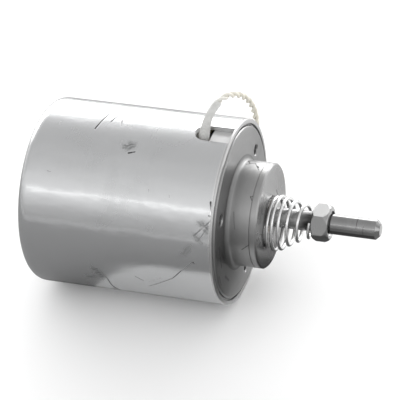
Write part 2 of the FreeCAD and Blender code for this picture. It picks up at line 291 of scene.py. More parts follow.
class Nodes:
    """Short calls that place and join the nodes of one tree."""

    def __init__(self, tree):
        self.tree = tree

    def give(self, socket, value):
        """Join a value to a socket, or set a constant on it."""
        if isinstance(value, Value):
            self.tree.links.new(value.socket, socket)
        else:
            socket.default_value = value

    def put(self, kind, inputs=(), **settings):
        """New node with its settings and inputs."""
        node = self.tree.nodes.new(kind)
        for key, value in settings.items():
            setattr(node, key, value)
        for key, value in dict(inputs).items():
            self.give(node.inputs[key], value)
        return node

    def first(self, kind, inputs=(), **settings):
        """First output of a new node."""
        return Value(self, self.put(kind, inputs, **settings).outputs[0])

    def named(self, kind, inputs=(), **settings):
        """Outputs of a new node, by name."""
        outputs = self.put(kind, inputs, **settings).outputs
        return {socket.name: Value(self, socket) for socket in outputs}

    def math(self, operation, *values):
        """Result of one sum or function."""
        return self.first("ShaderNodeMath", dict(enumerate(values)), operation=operation)

    def vector(self, operation, *values):
        """Vector or length that one vector operation gives."""
        outputs = self.named("ShaderNodeVectorMath", dict(enumerate(values)), operation=operation)
        return outputs["Value" if operation in ("LENGTH", "DISTANCE", "DOT_PRODUCT") else "Vector"]

    def scaled(self, vector, amount):
        """Vector made longer or shorter."""
        return self.first("ShaderNodeVectorMath", {0: vector, "Scale": amount}, operation="SCALE")

    def combine(self, x, y, z=0.0):
        """Vector of three parts."""
        return self.first("ShaderNodeCombineXYZ", {"X": x, "Y": y, "Z": z})

    def split(self, vector):
        """Three parts of a vector."""
        return list(self.named("ShaderNodeSeparateXYZ", {0: vector}).values())

    def noise(self, place, scale, detail, roughness=0.5, distortion=0.0):
        """Noise between nought and one."""
        inputs = {"Vector": place, "Scale": scale, "Detail": detail}
        inputs |= {"Roughness": roughness, "Distortion": distortion}
        return self.first("ShaderNodeTexNoise", inputs)

    def between(self, value, low, high, to_low=0.0, to_high=1.0):
        """Smooth step of a value between two limits."""
        inputs = {0: value, 1: low, 2: high, 3: to_low, 4: to_high}
        return self.first("ShaderNodeMapRange", inputs, interpolation_type="SMOOTHSTEP")

    def blend(self, factor, first, second):
        """Mix of two colours."""
        node = self.put("ShaderNodeMix", {0: factor, 6: first, 7: second}, data_type="RGBA")
        return Value(self, node.outputs[2])

    def greatest(self, values):
        """Greatest of several values."""
        total = values[0]
        for value in values[1:]:
            total = self.math("MAXIMUM", total, value)
        return total

    def held(self, value, low=0.0, high=1.0):
        """Value kept between two limits."""
        return self.math("MINIMUM", self.math("MAXIMUM", value, low), high)

    def wave(self, value, spacing):
        """Even ridges along a value."""
        return self.math("SINE", value * (2 * math.pi / spacing))


def geometry_tree(name, sizes):
    """Geometry tree with named inputs for its sizes and its finish, its node helper and its inputs."""
    tree = bpy.data.node_groups.new(name, "GeometryNodeTree")
    tree.interface.new_socket(name="Geometry", in_out="INPUT", socket_type="NodeSocketGeometry")
    for label, value in sizes.items():
        kind = "NodeSocketInt" if isinstance(value, int) else "NodeSocketFloat"
        tree.interface.new_socket(name=label, in_out="INPUT", socket_type=kind).default_value = value
    tree.interface.new_socket(name="Finish", in_out="INPUT", socket_type="NodeSocketMaterial")
    tree.interface.new_socket(name="Geometry", in_out="OUTPUT", socket_type="NodeSocketGeometry")
    n = Nodes(tree)
    return tree, n, n.named("NodeGroupInput")


def round_skin(n, line, radius, facets):
    """Capped round skin about a line."""
    circle = n.first("GeometryNodeCurvePrimitiveCircle", {"Resolution": facets, "Radius": radius})
    return n.first("GeometryNodeCurveToMesh", {"Curve": line, "Profile Curve": circle, "Fill Caps": True})


def end_tree(n, geometry, finish):
    """Realize what a tree made, give it its finish and send it out."""
    real = n.first("GeometryNodeRealizeInstances", {"Geometry": geometry})
    finished = n.first("GeometryNodeSetMaterial", {"Geometry": real, "Material": finish})
    n.put("NodeGroupOutput", {"Geometry": finished})


def made_by_tree(carrier, tree, name, finish=None):
    """Plain mesh that a geometry tree makes from its carrier object, which then goes."""
    modifier = carrier.modifiers.new("shape", "NODES")
    modifier.node_group = tree
    for item in tree.interface.items_tree:
        if item.name == "Finish" and finish:
            modifier[item.identifier] = finish
    mesh = finished_mesh(carrier)
    carrier.modifiers.remove(modifier)
    bpy.data.objects.remove(carrier)
    mesh.name = name
    return link_piece(name, mesh)


def twisted_strands_tree():
    """Round strands laid helically about a line."""
    tree, n, source = geometry_tree(
        "twisted strands",
        {
            "Strand Diameter": strand_d,
            "Lay Radius": strand_d / 2,
            "Lay Length": strand_twist,
            "Strand Count": 2,
            "Step": 0.25 * MM,
            "Facets": 14,
        },
    )
    spacing = {"Curve": source["Geometry"], "Length": source["Step"]}
    line = n.first("GeometryNodeResampleCurve", spacing, mode="LENGTH")
    amount = {"Geometry": line, "Amount": source["Strand Count"]}
    copies = n.named("GeometryNodeDuplicateElements", amount, domain="SPLINE")
    along = n.named("GeometryNodeSplineParameter")["Length"]
    turns = along / source["Lay Length"] + copies["Duplicate Index"] / source["Strand Count"]
    angle = turns * (2 * math.pi)
    side = n.first("GeometryNodeInputNormal")
    ahead = n.first("GeometryNodeInputTangent")
    across = n.scaled(side, n.math("COSINE", angle))
    upward = n.scaled(n.vector("CROSS_PRODUCT", ahead, side), n.math("SINE", angle))
    offset = n.scaled(n.vector("ADD", across, upward), source["Lay Radius"])
    laid = n.first("GeometryNodeSetPosition", {"Geometry": copies["Geometry"], "Offset": offset})
    measured = {"Geometry": laid, "Name": "along", "Value": along}
    line = n.first("GeometryNodeStoreNamedAttribute", measured, data_type="FLOAT", domain="POINT")
    skin = round_skin(n, line, source["Strand Diameter"] * 0.5, source["Facets"])
    end_tree(n, skin, source["Finish"])
    return tree


def object_place(n):
    """Object coordinates."""
    return n.named("ShaderNodeTexCoord")["Object"]


def object_parts(n):
    """Object coordinates, split."""
    return n.split(object_place(n))


def radius_from_axis(n, y, z):
    """Distance from the X axis."""
    return n.math("SQRT", y * y + z * z)


def looking_up(n, low, high):
    """How far a face looks up, between two limits of its normal's rise."""
    return n.between(n.split(n.named("ShaderNodeNewGeometry")["Normal"])[2], low, high)


def within(n, value, low, high, soft):
    """One between two limits, with soft ends."""
    return n.between(value, low - soft, low) * n.between(value, high, high + soft, 1.0, 0.0)


def ragged_offset(n, place, amount, size):
    """Small wander of an edge."""
    return (n.noise(place, 1 / size, detail=3.0, roughness=0.7) - 0.5) * amount


# Effects that several finishes share: each takes its named inputs and gives masks, heights or places


def turned_grain(n, source):
    """Lines that a lathe tool or polishing belt leaves round the axis."""
    x, y, z = object_parts(n)
    radius = n.math("MAXIMUM", radius_from_axis(n, y, z), MM)
    across = (x + radius * 0.73) * source["Lines"]
    place = n.combine(across, y / radius * source["Wander"], z / radius * source["Wander"])
    tone = n.between(n.noise(place, scale=0.35, detail=4.0, roughness=0.6), 0.3, 0.7)
    return {"Tone": tone, "Height": n.noise(place, scale=1.6, detail=3.0, roughness=0.7)}


def cloudy_stain(n, source):
    """Soft cloudy areas of handling and oxide."""
    cloud = n.noise(object_place(n), 1.0 / source["Size"], detail=5.0, roughness=0.6, distortion=0.4)
    return {"Mask": n.between(cloud, source["Least"], source["Most"])}


# Hairline scratches: turn and stretch of each direction
HAIR_DIRECTIONS = [((0.4, 0.9, 0.3), (1.0, 9.0, 3.0)), ((1.3, 0.2, 2.1), (6.0, 1.0, 2.0))]


def fine_scratches(n, source):
    """Hairline scratches from handling, in two directions."""
    place = object_place(n)
    layers = []
    for turn, stretch in HAIR_DIRECTIONS:
        mapped = n.first("ShaderNodeMapping", {"Vector": place, "Rotation": turn, "Scale": stretch})
        scale = 1.0 / source["Size"]
        middle = n.math("ABSOLUTE", n.noise(mapped, scale, detail=1.0) - 0.5)
        line = n.between(middle, 0.0, source["Width"], 1.0, 0.0)
        kept = n.between(n.noise(place, scale, detail=2.0), source["Share"], source["Share"] + 0.08)
        layers.append(line * kept)
    return {"Mask": n.greatest(layers)}


def rolled_out_skin(n, source):
    """Place on a round skin, rolled out flat: along the axis and round it from the top, in metres."""
    x, y, z = object_parts(n)
    angle = n.math("ARCTAN2", y * -1.0, z)
    return {"Place": n.combine(x, angle * source["Radius"])}


def scratch_stroke(n, source):
    """One tapered stroke between two places on a flat face or a rolled out skin, for scratches and for
    strokes of painted shade.
    """
    offset = n.vector("SUBTRACT", source["Place"], source["From"])
    whole = n.vector("SUBTRACT", source["To"], source["From"])
    share = n.held(n.vector("DOT_PRODUCT", offset, whole) / n.vector("DOT_PRODUCT", whole, whole))
    gap = n.vector("DISTANCE", offset, n.scaled(whole, share))
    gap = gap + ragged_offset(n, source["Place"], source["Ragged"], 0.8 * MM)
    width = source["Width"] * (1.0 - share * 0.3)
    return {"Mask": n.between(gap, width * 0.35, width, 1.0, 0.0)}


def rubbed_patch(n, source):
    """Oval patch with a broken edge, for rubs and dirt, and for patches of painted shade."""
    offset = n.vector("SUBTRACT", source["Place"], source["Centre"])
    turn = {"Vector": offset, "Angle": source["Turn"]}
    turned = n.first("ShaderNodeVectorRotate", turn, rotation_type="Z_AXIS")
    along, across, _ = n.split(turned)
    reach = n.vector("LENGTH", n.combine(along / source["Half Length"], across / source["Half Width"]))
    reach = reach + ragged_offset(n, source["Place"], source["Ragged"], 1.4 * MM)
    streaks = n.first("ShaderNodeMapping", {"Vector": turned, "Scale": (0.45, 1.6, 1.0)})
    kept = n.between(n.noise(streaks, scale=1100.0, detail=4.0, roughness=0.7), 0.36, 0.56)
    return {"Mask": n.between(reach, 0.35, 1.0, 1.0, 0.0) * kept}


def ring_edge(n, source):
    """Closeness to a circular edge about the axis, broken by noise."""
    place = object_place(n)
    x, y, z = n.split(place)
    along = x - source["At X"]
    outward = radius_from_axis(n, y, z) - source["At Radius"]
    near = n.between(n.vector("LENGTH", n.combine(along, outward)), 0.0, source["Width"], 1.0, 0.0)
    kept = n.between(n.noise(place, scale=350.0, detail=3.0), 0.3, 0.6)
    return {"Mask": near * (1.0 - source["Broken"] * (1.0 - kept))}


def settled_dust(n, source):
    """Dust and grime on faces that look up."""
    speck = n.between(n.noise(object_place(n), 1.0 / source["Size"], detail=6.0, roughness=0.7), 0.4, 0.75)
    return {"Mask": looking_up(n, -0.2, 1.0) * speck * source["Amount"]}


# Shared effects, each with the usual values of its inputs
NOWHERE = (0, 0, 0)
EFFECTS = [
    (turned_grain, {"Lines": 3000.0, "Wander": 3.0}),
    (cloudy_stain, {"Size": 0.01, "Least": 0.45, "Most": 0.7}),
    (fine_scratches, {"Size": 0.01, "Width": 0.012, "Share": 0.5}),
    (rolled_out_skin, {"Radius": 0.028}),
    (
        scratch_stroke,
        {
            "Place": NOWHERE,
            "From": NOWHERE,
            "To": NOWHERE,
            "Width": 0.3 * MM,
            "Ragged": 0.3 * MM,
        },
    ),
    (
        rubbed_patch,
        {
            "Place": NOWHERE,
            "Centre": NOWHERE,
            "Half Length": 3.0 * MM,
            "Half Width": 2.0 * MM,
            "Turn": 0.0,
            "Ragged": 1.3,
        },
    ),
    (ring_edge, {"At X": 0.0, "At Radius": 0.028, "Width": 0.4 * MM, "Broken": 0.5}),
    (settled_dust, {"Amount": 0.4, "Size": 4.0 * MM}),
]


def make_effects():
    """Shader node groups of the shared effects, by name."""
    groups = {}
    for build, inputs in EFFECTS:
        name = build.__name__.replace("_", " ")
        tree = groups[name] = bpy.data.node_groups.new(name, "ShaderNodeTree")
        for label, value in inputs.items():
            kind = "NodeSocketVector" if isinstance(value, tuple) else "NodeSocketFloat"
            tree.interface.new_socket(name=label, in_out="INPUT", socket_type=kind).default_value = value
        n = Nodes(tree)
        results = build(n, n.named("NodeGroupInput"))
        for label, value in results.items():
            kind = "NodeSocketVector" if value.socket.type == "VECTOR" else "NodeSocketFloat"
            tree.interface.new_socket(name=label, in_out="OUTPUT", socket_type=kind)
        n.put("NodeGroupOutput", results)
    return groups


# Depth of the fine relief on every finish
relief_depth = 0.1 * MM


class Finish:
    """One material: its nodes, its masks and its shader."""

    def __init__(self, name, effects):
        self.material = bpy.data.materials.new(name + "_finish")
        self.material.use_nodes = True
        self.material.node_tree.nodes.clear()
        self.effects = effects
        self.n = Nodes(self.material.node_tree)
        self.shader = self.n.put("ShaderNodeBsdfPrincipled")
        self.n.put("ShaderNodeOutputMaterial", {"Surface": Value(self.n, self.shader.outputs[0])})

    def effect(self, name, **values):
        """Outputs of a shared effect, by name."""
        inputs = {label.replace("_", " "): value for label, value in values.items()}
        return self.n.named("ShaderNodeGroup", inputs, node_tree=self.effects[name])

    def stain(self, **values):
        """Mask of cloudy stains."""
        return self.effect("cloudy stain", **values)["Mask"]

    def surface(self, colour, roughness, height, bump=1.0, **constants):
        """Set the shader's inputs, with fine relief, and give the material."""
        relief = {"Height": height, "Strength": bump, "Distance": relief_depth}
        raised = self.n.first("ShaderNodeBump", relief)
        joined = {"Base Color": colour, "Roughness": roughness, "Normal": raised}
        for label, value in {**joined, **constants}.items():
            self.n.give(self.shader.inputs[label.replace("_", " ")], value)
        return self.material


def grey(value, cool=0.0):
    """Near-neutral colour."""
    return (value * (1 - cool), value, value * (1 + cool), 1.0)


def turned_metal(
    effects, name, light, dark, smooth, rough, lines, stretch=0.0, stain=12 * MM, marks=None, relief=1.0
):
    """Machined or plated metal: tool lines, stains, hairlines and, where given, marks of its own."""
    finish = Finish(name, effects)
    n = finish.n
    grain = finish.effect("turned grain", Lines=lines)
    hairs = finish.effect("fine scratches", Size=stain * 0.9, Share=0.52)["Mask"]
    tone = grain["Tone"] * (0.08 + 0.27 * relief) + finish.stain(Size=stain) * 0.55
    colour = n.blend(hairs * 0.2, n.blend(tone, light, dark), dark)
    roughness = n.between(tone, 0.0, 1.0, smooth, rough)
    height = grain["Height"] * (0.06 * relief) - hairs * (0.04 * relief)
    if marks:
        colour, roughness, height = marks(finish, colour, roughness, height)
    if stretch:
        tangent = n.first("ShaderNodeTangent", direction_type="RADIAL", axis="X")
        n.give(finish.shader.inputs["Tangent"], tangent)
        finish.shader.inputs["Anisotropic Rotation"].default_value = 0.25
        finish.shader.inputs["Anisotropic"].default_value = stretch
    return finish.surface(colour, roughness, height, Metallic=1.0)


# Tones of marks, edges and dirt, and of painted shade and a painted highlight
scratch_tone = grey(0.05)
nose_scratch_tone = grey(0.06)
low_nose_shade_tone = grey(0.12)
worn_mouth_tone = grey(0.6)
painted_silhouette_shade = grey(0.14)
sheared_edge_tone = grey(0.9)
hexagon_tone = grey(0.31)
painted_top_highlight_tone = grey(0.62)
dust_tone = (0.45, 0.43, 0.40, 1.0)
wire_gap_tone = (0.10, 0.03, 0.01, 1.0)
wire_tone = (0.62, 0.24, 0.10, 1.0)
varnish_tone = (0.30, 0.09, 0.03, 1.0)
near_lead_tone = (0.66, 0.66, 0.64, 1.0)
far_lead_tone = (0.74, 0.71, 0.62, 1.0)
lead_grime_tone = (0.36, 0.35, 0.33, 1.0)
low_weave_tone = (0.52, 0.52, 0.51, 1.0)
high_weave_tone = (0.68, 0.68, 0.66, 1.0)
sleeve_grime_tone = (0.34, 0.34, 0.33, 1.0)

# Marks on round skins: start and end as (x in mm, degrees round from the top), width in mm, darkness
CAN_STROKES = [
    ((-41.6, 8.8), (-39.7, -9.2), 0.36, 1.0),
    ((-37.9, 0.8), (-36.6, -9.0), 0.32, 0.95),
    ((-34.9, -1.5), (-34.1, 3.6), 0.26, 0.8),
    ((-29.0, 23.6), (-27.2, 22.4), 0.42, 0.95),
    ((-1.5, 47.4), (-1.0, 52.0), 0.45, 1.0),
    ((-1.0, 52.0), (-0.2, 54.8), 0.38, 1.0),
    ((-1.6, 55.5), (-0.3, 56.5), 0.25, 0.7),
    ((-13.0, 101.5), (-21.4, 114.2), 0.22, 0.55),
    ((-10.0, 94.0), (-13.0, 101.5), 0.24, 0.7),
    ((-6.2, 86.0), (-10.0, 94.0), 0.18, 0.4),
    ((-6.0, 86.0), (-5.6, 87.0), 0.30, 0.9),
    ((-24.8, 105.0), (-22.6, 108.5), 0.20, 0.6),
    ((-0.6, 58.0), (-5.6, 68.5), 0.40, 0.6),
    ((-1.6, 63.0), (-4.4, 71.5), 0.26, 0.5),
    # The next three strokes are painted shade along the edge of the dent at the bottom.
    ((-33.9, 129.0), (-34.3, 113.0), 0.46, 0.7),
    ((-34.3, 113.0), (-35.8, 103.0), 0.34, 0.5),
    ((-33.0, 131.0), (-33.9, 124.0), 0.60, 0.8),
    ((-52.2, 41.0), (-51.2, 41.4), 0.20, 0.35),
    ((-20.6, 44.4), (-20.3, 46.2), 0.18, 0.22),
    ((-14.2, 46.2), (-13.9, 47.8), 0.18, 0.18),
    ((-0.7, 12.8), (-0.5, 13.3), 0.55, 1.0),
]
BOSS_STROKES = [
    ((1.4, -24.0), (2.6, -15.0), 0.30, 0.85),
    ((1.6, -13.0), (3.9, -18.5), 0.28, 0.8),
    ((3.9, -18.5), (6.2, -3.5), 0.22, 0.75),
    ((5.2, -11.0), (5.8, -8.5), 0.4, 0.9),
    ((6.4, 33.0), (7.0, 37.0), 0.22, 0.8),
    ((7.0, 32.5), (6.5, 33.5), 0.2, 0.7),
    ((4.9, 94.0), (7.9, 84.0), 0.22, 0.7),
    ((2.2, 52.0), (2.9, 70.0), 0.3, 0.3),
]
ROD_STROKES = [
    ((35.9, -30.0), (35.9, 60.0), 0.16, 0.7),
    ((38.0, 45.0), (38.0, 95.0), 0.16, 0.5),
]
# Marks on flat faces: start and end as (y, z) in mm, width in mm, darkness
NOSE_STROKES = [
    ((6.5, 4.7), (7.6, 2.5), 0.5, 0.6),
    ((-12.5, 3.0), (-10.0, 7.6), 0.2, 0.25),
    ((-6.0, -13.0), (-2.0, -14.2), 0.25, 0.3),
]
FACE_STROKES = [
    ((-21.5, 3.0), (-20.8, -4.5), 0.8, 0.45),
    ((-18.5, -10.0), (-15.8, -13.5), 0.7, 0.4),
    ((-23.5, -6.0), (-22.5, -10.0), 0.5, 0.35),
]
# Rubbed patches and patches of painted shade on the can: centre, half length and half width in mm, turn in
# degrees, darkness
CAN_PATCHES = [
    ((-29.4, 18.6), 3.0, 2.2, 25.0, 0.62),
    ((-2.4, 63.0), 3.6, 1.7, -40.0, 0.62),
    ((-4.6, 70.0), 2.6, 1.1, -40.0, 0.4),
    ((-8.0, 79.0), 3.6, 1.6, 50.0, 0.25),
    # The next two patches are painted shade beside the dent at the bottom.
    ((-36.6, 107.0), 1.9, 4.4, 20.0, 0.6),
    ((-38.6, 112.0), 4.4, 1.6, 10.0, 0.4),
    ((-0.6, 76.0), 0.7, 5.0, 0.0, 0.45),
]


def skin_point(x, degrees, radius):
    """Rolled out place of a mark."""
    return (x * MM, math.radians(degrees) * radius, 0.0)


def stroke_masks(finish, place, strokes):
    """Darkest of all the strokes at each place: strokes with their ends in metres."""
    masks = []
    for start, end, width, darkness in strokes:
        mask = finish.effect("scratch stroke", Place=place, From=start, To=end, Width=width * MM)["Mask"]
        masks.append(mask * darkness)
    return finish.n.greatest(masks)


def skin_strokes(finish, radius, strokes):
    """Strokes on a round skin, and the skin's rolled out place."""
    place = finish.effect("rolled out skin", Radius=radius)["Place"]
    placed = [(skin_point(*start, radius), skin_point(*end, radius), *rest) for start, end, *rest in strokes]
    return stroke_masks(finish, place, placed), place


def flat_strokes(finish, strokes):
    """Strokes on a face that looks along the axis."""
    x, y, z = object_parts(finish.n)
    placed = [((a * MM, b * MM, 0.0), (c * MM, d * MM, 0.0), *rest) for (a, b), (c, d), *rest in strokes]
    return stroke_masks(finish, finish.n.combine(y, z), placed)


def patch_masks(finish, place, radius, patches):
    """Darkest of all the patches at each place."""
    masks = []
    for centre, half_length, half_width, turn, darkness in patches:
        mask = finish.effect(
            "rubbed patch",
            Place=place,
            Centre=skin_point(*centre, radius),
            Half_Length=half_length * MM,
            Half_Width=half_width * MM,
            Turn=math.radians(turn),
        )["Mask"]
        masks.append(mask * darkness)
    return finish.n.greatest(masks)


def can_marks(finish, colour, roughness, height):
    """Scratches, scuffs, worn and sheared edges of the can, its slightly uneven skin, painted shade along
    its outline and painted shade at the bottom dent.
    """
    n = finish.n
    cuts_and_dent_shade, skin = skin_strokes(finish, can_r, CAN_STROKES)
    dark = n.math("MAXIMUM", cuts_and_dent_shade, patch_masks(finish, skin, can_r, CAN_PATCHES))
    worn = finish.effect("ring edge", At_X=can_mouth_x, At_Radius=can_r, Width=0.7 * MM)["Mask"]
    colour = n.blend(worn, n.blend(dark, colour, scratch_tone), worn_mouth_tone)
    place = object_place(n)
    x, y, z = n.split(place)
    stretched = n.first("ShaderNodeMapping", {"Vector": place, "Scale": (0.55, 1.0, 1.0)})
    swell = n.noise(stretched, scale=230.0, detail=2.0, roughness=0.45)
    height = height - cuts_and_dent_shade * 0.5 + swell * can_unevenness
    # Painted shade: the skin darkens towards its outline, where it turns away from the camera.
    rim = n.between(n.named("ShaderNodeLayerWeight", {"Blend": 0.5})["Facing"], 0.82, 0.92)
    colour = n.blend(rim, colour, painted_silhouette_shade)
    sheet_edge = n.between(radius_from_axis(n, y, z), can_r - 0.16 * MM, can_r - 0.08 * MM, 1.0, 0.0)
    straight_x = can_rear_x + can_corner_r
    sheet_edge = sheet_edge * n.between(x, straight_x, straight_x + MM)
    colour = n.blend(sheet_edge * 0.8, colour, sheared_edge_tone)
    return colour, roughness + dark * 0.25 + sheet_edge * 0.45, height


def flange_marks(finish, colour, roughness, height):
    """Painted shade in the groove, a dull rim in the slot, marks on the face and the boss, and painted shade
    in the boss's root and on its underside.
    """
    n = finish.n
    x, y, z = object_parts(n)
    radius = radius_from_axis(n, y, z)
    on_boss = within(n, radius, boss_r - MM, boss_r + 0.1 * MM, 0.2 * MM)
    on_face = within(n, radius, boss_r + MM, flange_r, 0.3 * MM)
    dark = skin_strokes(finish, boss_r, BOSS_STROKES)[0] * on_boss
    dark = n.math("MAXIMUM", dark, flat_strokes(finish, FACE_STROKES) * on_face)
    # Painted shade, near black, at the bottom of the face groove.
    groove = {"At_X": lip_front_x - groove_depth, "At_Radius": flange_r - groove_width / 2}
    grime = finish.effect("ring edge", Width=0.75 * MM, Broken=0.25, **groove)["Mask"]
    rim = n.between(x, can_mouth_x - 0.1 * MM, can_mouth_x, 1.0, 0.0)
    lip = n.between(radius, flange_r + 0.1 * MM, flange_r + 0.3 * MM)
    boss_share = n.between(radius, boss_r + 0.1 * MM, boss_r + 1.2 * MM, 1.0, 0.0)
    # Painted shade in the fillet at the root of the boss.
    root_fillet_shade = within(n, radius, boss_r + 0.25 * MM, boss_r + boss_root_r, 0.35 * MM)
    # Painted shade: the boss is darker where its skin looks down.
    boss_underside_shade = (1.0 - looking_up(n, -0.6, 0.0)) * on_boss
    # The groove, root fillet and boss underside entries below are painted shade.
    for share, tone in (
        (dark, 0.05),
        (grime, 0.02),
        (rim, 0.62),
        (lip * (1.0 - grime), 0.5),
        (boss_share * (1.0 - dark) * 0.15, 0.6),
        (root_fillet_shade * 0.55, 0.16),
        (boss_underside_shade * 0.4, 0.12),
    ):
        colour = n.blend(share, colour, grey(tone))
    roughness = roughness + boss_share * 0.02 + root_fillet_shade * 0.16
    return colour, roughness + n.math("MAXIMUM", dark, grime) * 0.3 + rim * 0.35, height


def nose_marks(finish, colour, roughness, height):
    """Dark strokes on the nose face, and painted shade that darkens it towards the bottom."""
    n = finish.n
    x, y, z = object_parts(n)
    on_face = n.between(x, nose_x - 0.1 * MM, nose_x - 0.02 * MM)
    dark = flat_strokes(finish, NOSE_STROKES) * on_face
    colour = n.blend(dark, colour, nose_scratch_tone)
    # Painted shade: the nose face darkens towards the bottom.
    low_down = n.between(z, -12.0 * MM, -2.0 * MM, 1.0, 0.0)
    colour = n.blend(low_down * 0.55, colour, low_nose_shade_tone)
    return colour, roughness + (1.0 - on_face) * 0.07 + dark * 0.25, height


def tip_marks(finish, colour, roughness, height):
    """Rubbed lines across the pin, and a duller hexagon with a painted highlight on its upward faces."""
    n = finish.n
    x, y, z = object_parts(n)
    dark = skin_strokes(finish, rod_r, ROD_STROKES)[0] * n.between(x, hex_front_x, hex_front_x + MM)
    hexagon = n.between(x, hex_front_x, hex_front_x + 0.05 * MM, 1.0, 0.0)
    colour = n.blend(hexagon, colour, hexagon_tone)
    # Painted highlight: the hexagon's faces that look up are made lighter.
    colour = n.blend(hexagon * looking_up(n, 0.7, 0.95), colour, painted_top_highlight_tone)
    return n.blend(dark, colour, scratch_tone), roughness + hexagon * 0.1, height


def plastic(effects, name, light, dark, roughness, grain=0.8 * MM, bump=0.3):
    """Moulded, wrapped or pressed non-metal with mottled colour and dust."""
    finish = Finish(name, effects)
    n = finish.n
    fine = finish.stain(Size=grain, Least=0.3, Most=0.75)
    dust = finish.effect("settled dust", Amount=0.35)["Mask"]
    colour = n.blend(finish.stain(Size=6.0 * MM) * 0.6, light, dark)
    colour = n.blend(dust, colour, dust_tone)
    rough = n.between(fine + dust, 0.0, 1.5, roughness, min(1.0, roughness + 0.25))
    return finish.surface(colour, rough, fine, bump)


def wound_copper(effects, name):
    """Enamelled wire in close layers."""
    finish = Finish(name, effects)
    n = finish.n
    wave = n.wave(object_parts(n)[0], 0.45 * MM)
    cloud = finish.stain(Size=8.0 * MM)
    colour = n.blend(n.between(wave, -1.0, 0.2), wire_gap_tone, wire_tone)
    colour = n.blend(cloud * 0.5, colour, varnish_tone)
    return finish.surface(colour, n.between(cloud, 0.0, 1.0, 0.28, 0.5), wave, 0.6, Metallic=0.85)


def soft_insulation(effects, name):
    """Pale lead insulation, greyer with handling towards the slot and creamier further out."""
    finish = Finish(name, effects)
    n = finish.n
    along = n.named("ShaderNodeAttribute", attribute_name="along")["Fac"]
    colour = n.blend(n.between(along, 8 * MM, 26 * MM), near_lead_tone, far_lead_tone)
    grime = finish.stain(Size=2.5 * MM, Least=0.5, Most=0.75)
    colour = n.blend(grime * 0.45, colour, lead_grime_tone)
    fine = finish.stain(Size=0.5 * MM, Least=0.3, Most=0.7)
    return finish.surface(colour, n.between(grime, 0.0, 1.0, 0.42, 0.62), fine, 0.25, Subsurface_Weight=0.0)


def woven_sleeve(effects, name):
    """Varnished braided sleeve: fine crossing threads, worn pale."""
    finish = Finish(name, effects)
    n = finish.n
    x, y, z = object_parts(n)
    weave = n.wave(y + z, 0.5 * MM) * n.wave(y - z, 0.5 * MM)
    grime = finish.stain(Size=2.0 * MM, Least=0.45, Most=0.75)
    colour = n.blend(n.between(weave, -1.0, 1.0), low_weave_tone, high_weave_tone)
    colour = n.blend(grime * 0.4, colour, sleeve_grime_tone)
    return finish.surface(colour, n.between(grime, 0.0, 1.0, 0.45, 0.7), weave, 0.25)


# Metals: light and dark tone, roughness limits, tool lines in a metre, stretch, stains, own marks, relief
METALS = [
    ("plated_can", grey(0.52, 0.01), grey(0.46, 0.01), 0.25, 0.32, 5000, 0.7, 20 * MM, can_marks, 0.1),
    ("turned_steel", grey(0.37), grey(0.32), 0.25, 0.34, 3500, 0.6, 16 * MM),
    ("flange_steel", grey(0.29), grey(0.24), 0.32, 0.40, 3500, 0.0, 14 * MM, flange_marks, 0.3),
    ("nose_steel", grey(0.32), grey(0.26), 0.26, 0.34, 3500, 0.0, 14 * MM, nose_marks, 0.3),
    ("tip_steel", grey(0.26), grey(0.20), 0.12, 0.20, 4000, 0.0, 9 * MM, tip_marks, 0.15),
    ("bronze", (0.24, 0.19, 0.14, 1), (0.14, 0.11, 0.08, 1), 0.35, 0.5, 4000, 0.0, 4 * MM),
    ("tube_brass", (0.70, 0.52, 0.22, 1), (0.45, 0.31, 0.13, 1), 0.2, 0.35, 3000, 0.3),
    ("soft_iron", grey(0.38), grey(0.25), 0.35, 0.5, 2500, 0.4),
    ("shim_brass", (0.72, 0.53, 0.24, 1), (0.5, 0.34, 0.15, 1), 0.25, 0.4, 4000),
    ("spring_steel", grey(0.8), grey(0.6), 0.2, 0.3, 2500, 0.0, 6 * MM),
    ("rod_steel", grey(0.40), grey(0.30), 0.26, 0.36, 4000, 0.0, 6 * MM),
    ("tinned", grey(0.62), grey(0.42), 0.28, 0.42, 2500, 0.0, 3 * MM),
]
# Plastics and the like: light and dark colour, roughness, grain and its relief
PLASTICS = [
    ("nitrile", (0.03, 0.03, 0.03, 1), (0.015, 0.015, 0.015, 1), 0.6),
    ("fibre", (0.33, 0.10, 0.05, 1), (0.20, 0.06, 0.03, 1), 0.65, 0.4 * MM, 0.5),
    ("bobbin_plastic", (0.05, 0.05, 0.055, 1), (0.03, 0.03, 0.03, 1), 0.4),
    ("tape", (0.60, 0.50, 0.18, 1), (0.42, 0.33, 0.12, 1), 0.35, 0.6 * MM, 0.2),
]


def make_finishes(effects):
    """Every finish of the part, by name."""
    finishes = {name: turned_metal(effects, name, *values) for name, *values in METALS}
    for name, *values in PLASTICS:
        finishes[name] = plastic(effects, name, *values)
    finishes["copper"] = wound_copper(effects, "copper")
    finishes["lead_insulation"] = soft_insulation(effects, "lead_insulation")
    finishes["sleeving"] = woven_sleeve(effects, "sleeving")
    return finishes


def new_mesh(name, shape, outward=True):
    """Mesh of a finished shape, its faces turned outward where asked."""
    if outward:
        bmesh.ops.recalc_face_normals(shape, faces=shape.faces)
    mesh = bpy.data.meshes.new(name)
    shape.to_mesh(mesh)
    shape.free()
    return mesh


def join_rings(shape, first, second):
    """Four-sided faces between two rings of as many points."""
    for k in range(len(first)):
        following = (k + 1) % len(first)
        shape.faces.new([first[k], first[following], second[following], second[k]])


def dress(piece, finish, body, replaced, angle=30.0):
    """Give a finished piece its material, its shading and its body, and hide the node it stands for."""
    mesh = piece.data
    mesh.materials.clear()
    mesh.materials.append(finish)
    for polygon in mesh.polygons:
        polygon.material_index = 0
    mesh.shade_smooth()
    mesh.set_sharp_from_angle(angle=math.radians(angle))
    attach(piece, body)
    if replaced:
        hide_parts(replaced)
    return piece


